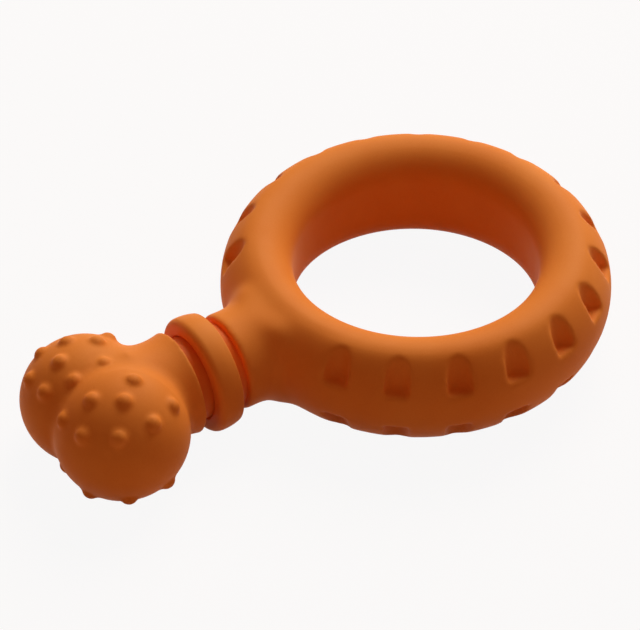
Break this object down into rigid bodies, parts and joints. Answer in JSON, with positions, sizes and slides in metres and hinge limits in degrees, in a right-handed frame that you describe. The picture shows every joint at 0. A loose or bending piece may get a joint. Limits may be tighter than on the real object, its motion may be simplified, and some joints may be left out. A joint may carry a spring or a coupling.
{
  "type": "rubber chew toy",
  "caption": "Rubber dog chew with a treaded ring on one side and a nubbed bone end on the other, and a loose collar turning between them.",
  "frame": {"origin": "centre of the ring's hole, on the middle plane of the ring", "axes": "+Z along the axis of the ring's hole; the stem and the bone end point towards -X; +Y across the two bulbs"},
  "size_m": [0.1504, 0.095, 0.0334],
  "materials": {
    "rubber": "smooth matte moulded rubber",
    "peg_nylon": "moulded nylon, dyed to match the rubber"
  },
  "bodies": {
    "toy": {"chew_ring": "rubber", "core_peg": "peg_nylon", "bone_head": "rubber"},
    "loose_collar": {"collar": "rubber"}
  },
  "joints": [
    {"name": "collar_spin", "type": "hinge", "parent": "toy", "child": "loose_collar", "pos_m": [-0.06015, 0, 0], "axis": [-1, 0, 0], "continuous": true}
  ]
}
